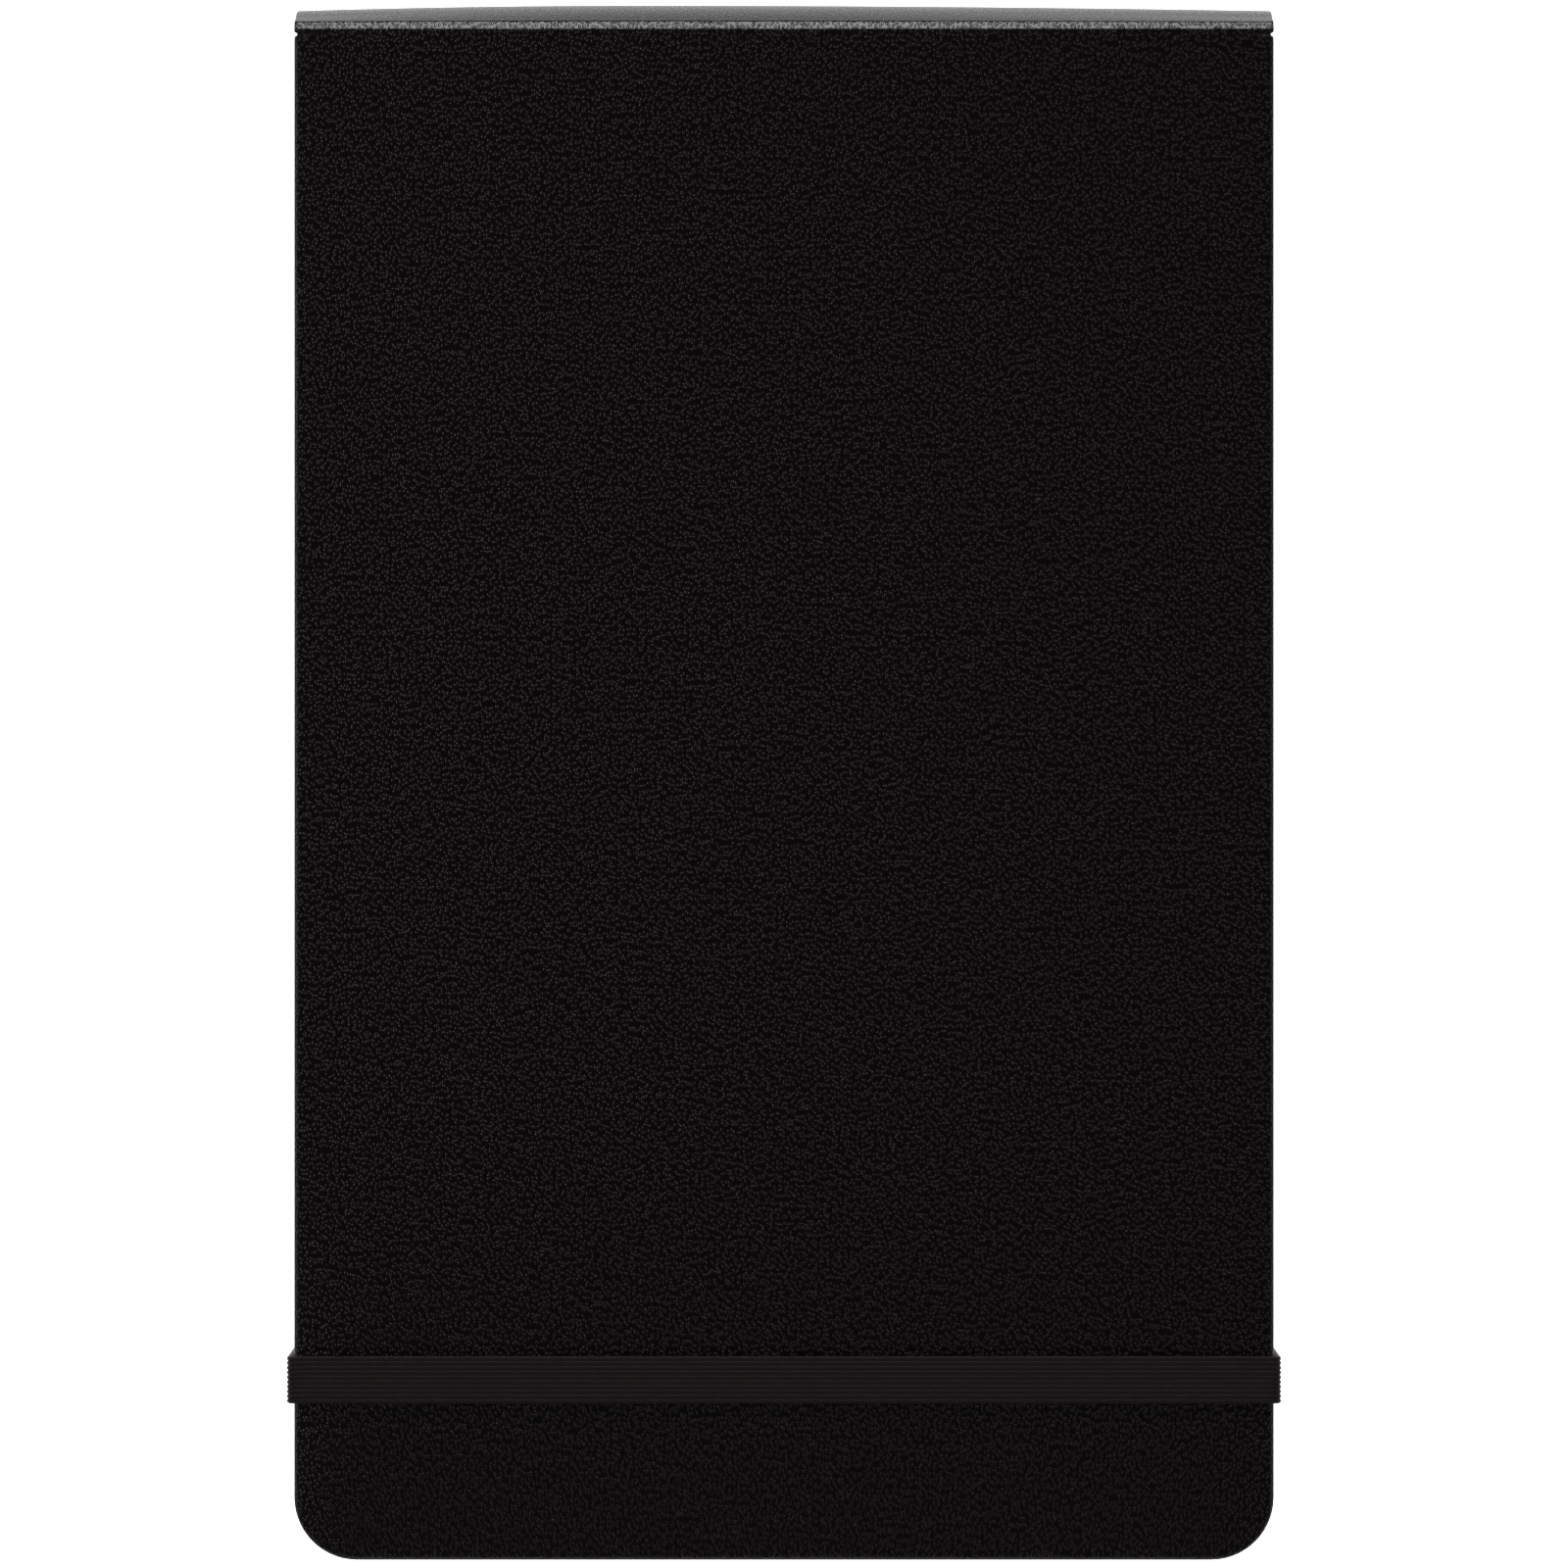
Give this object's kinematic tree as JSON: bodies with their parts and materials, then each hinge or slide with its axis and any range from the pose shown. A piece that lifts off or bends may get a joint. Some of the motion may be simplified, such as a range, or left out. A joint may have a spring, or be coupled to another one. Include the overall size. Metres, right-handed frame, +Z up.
{
  "type": "pocket notebook",
  "caption": "Top-bound pocket notebook with black hard covers, rounded bottom corners, a sewn paper block, an inner back pocket and an elastic closure band.",
  "frame": {"origin": "middle of the outline's bottom, on the surface that the notebook lies on", "axes": "+X across the width, +Y towards the bound edge, +Z up out of the front cover"},
  "size_m": [0.0904, 0.1416, 0.015],
  "materials": {
    "covering": "black leatherette, coated cloth with an embossed fine grain",
    "board": "grey bookbinding board",
    "card": "plain card",
    "endpaper": "heavy uncoated ivory paper",
    "page": "smooth uncoated ivory paper",
    "thread": "waxed white sewing thread",
    "mull": "open-weave starched cotton",
    "kraft": "brown kraft paper",
    "pocket_cloth": "black woven book cloth",
    "elastic": "ribbed woven elastic, black"
  },
  "bodies": {
    "back_cover": {"back_board": "board", "back_covering": "covering", "back_lining_card": "card", "back_pastedown": "endpaper", "elastic_tail_left": "elastic", "elastic_tail_right": "elastic", "pocket_base": "endpaper", "pocket_gusset_left": "pocket_cloth", "pocket_gusset_right": "pocket_cloth"},
    "pocket": {"pocket_panel": "endpaper", "pocket_hem": "pocket_cloth"},
    "block": {"signature_01": "page", "signature_02": "page", "signature_03": "page", "signature_04": "page", "signature_05": "page", "signature_06": "page", "signature_07": "page", "signature_08": "page", "signature_09": "page", "signature_10": "page", "signature_11": "page", "signature_12": "page", "back_flyleaf": "endpaper", "sewing_thread": "thread", "spine_mull": "mull", "spine_kraft_liner": "kraft", "spine_strip": "card", "spine_covering": "covering", "front_joint_cloth": "covering", "back_joint_cloth": "covering"},
    "front_flyleaf": {"front_flyleaf": "endpaper"},
    "turning_leaf_1": {"turning_leaf_1": "page"},
    "turning_leaf_2": {"turning_leaf_2": "page"},
    "turning_leaf_3": {"turning_leaf_3": "page"},
    "front_cover": {"front_board": "board", "front_covering": "covering", "front_lining_card": "card", "front_pastedown": "endpaper"},
    "band_swing": {"elastic_leg_left": "elastic", "elastic_leg_right": "elastic"},
    "band_span": {"elastic_front_span": "elastic"}
  },
  "joints": [
    {"name": "block_hinge", "type": "hinge", "parent": "back_cover", "child": "block", "pos_m": [0, 0.06821, 0.0015], "axis": [-1, 0, 0], "range_deg": [0, 180], "deforming": ["back_joint_cloth"]},
    {"name": "cover_hinge", "type": "hinge", "parent": "block", "child": "front_cover", "pos_m": [0, 0.06821, 0.01336], "axis": [-1, 0, 0], "range_deg": [0, 180], "deforming": ["front_joint_cloth"]},
    {"name": "flyleaf_turn", "type": "hinge", "parent": "block", "child": "front_flyleaf", "pos_m": [0, 0.06821, 0.01336], "axis": [-1, 0, 0], "range_deg": [0, 153]},
    {"name": "leaf_1_turn", "type": "hinge", "parent": "block", "child": "turning_leaf_1", "pos_m": [0, 0.06821, 0.01336], "axis": [-1, 0, 0], "range_deg": [0, 117]},
    {"name": "leaf_2_turn", "type": "hinge", "parent": "block", "child": "turning_leaf_2", "pos_m": [0, 0.06821, 0.01336], "axis": [-1, 0, 0], "range_deg": [0, 81]},
    {"name": "leaf_3_turn", "type": "hinge", "parent": "block", "child": "turning_leaf_3", "pos_m": [0, 0.06821, 0.01336], "axis": [-1, 0, 0], "range_deg": [0, 45]},
    {"name": "pocket_open", "type": "hinge", "parent": "back_cover", "child": "pocket", "pos_m": [0, -0.06719, 0.0028], "axis": [1, 0, 0], "range_deg": [0, 10], "deforming": ["pocket_gusset_left", "pocket_gusset_right"]},
    {"name": "band_swing", "type": "hinge", "parent": "back_cover", "child": "band_swing", "pos_m": [0, -0.05439, 0.0003], "axis": [1, 0, 0], "range_deg": [0, 85], "deforming": ["elastic_leg_left", "elastic_leg_right"]},
    {"name": "band_stretch", "type": "slide", "parent": "band_swing", "child": "band_span", "axis": [0, 0, 1], "range_m": [0, 0.0163], "stiffness_N_per_m": 1}
  ],
  "couplings": [
    {"joint": "flyleaf_turn", "follows": "cover_hinge", "ratio": 0.85},
    {"joint": "leaf_1_turn", "follows": "cover_hinge", "ratio": 0.65},
    {"joint": "leaf_2_turn", "follows": "cover_hinge", "ratio": 0.45},
    {"joint": "leaf_3_turn", "follows": "cover_hinge", "ratio": 0.25},
    {"joint": "pocket_open", "follows": "block_hinge", "ratio": 0.055},
    {"joint": "band_swing", "follows": "band_stretch", "rad_per_m": 91}
  ]
}
